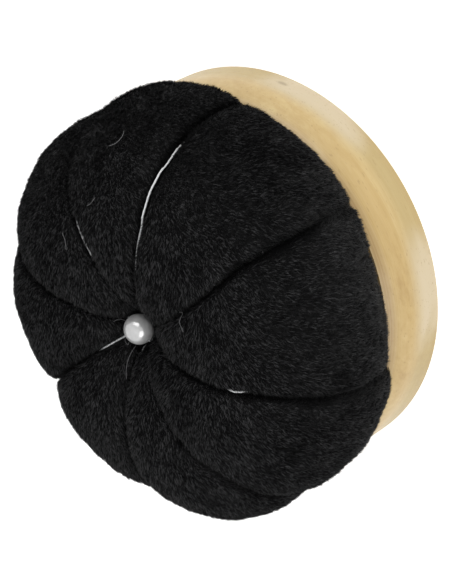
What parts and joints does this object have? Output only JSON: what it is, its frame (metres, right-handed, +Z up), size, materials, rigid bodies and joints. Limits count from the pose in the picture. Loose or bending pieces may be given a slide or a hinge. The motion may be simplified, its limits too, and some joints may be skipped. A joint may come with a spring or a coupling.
{
  "type": "pin cushion",
  "caption": "Round pin cushion: a black plush cushion tied into lobes with a pearl bead at its centre, glued into a turned wooden base.",
  "frame": {"origin": "centre of the wooden base's flat underside, on the turning axis", "axes": "+Z up along the base's turning axis towards the bead; +X to the right; +Y to the back. The tied centre of the cushion leans 0.9 mm to +X and 1.5 mm to -Y"},
  "size_m": [0.0925, 0.0916, 0.0526],
  "materials": {
    "wood": "satin",
    "glue": "satin",
    "plush": "matte",
    "stuffing": "matte",
    "dark_thread": "matte",
    "shiny_thread": "gloss",
    "clear_thread": "gloss",
    "pearl": "gloss"
  },
  "bodies": {
    "root": {"wood_base": "wood", "glue_bed": "glue", "plush_cover": "plush", "filling": "stuffing", "gathering_thread": "dark_thread", "wrap_thread": "shiny_thread", "bead_thread": "clear_thread", "pearl_bead": "pearl"}
  },
  "joints": []
}
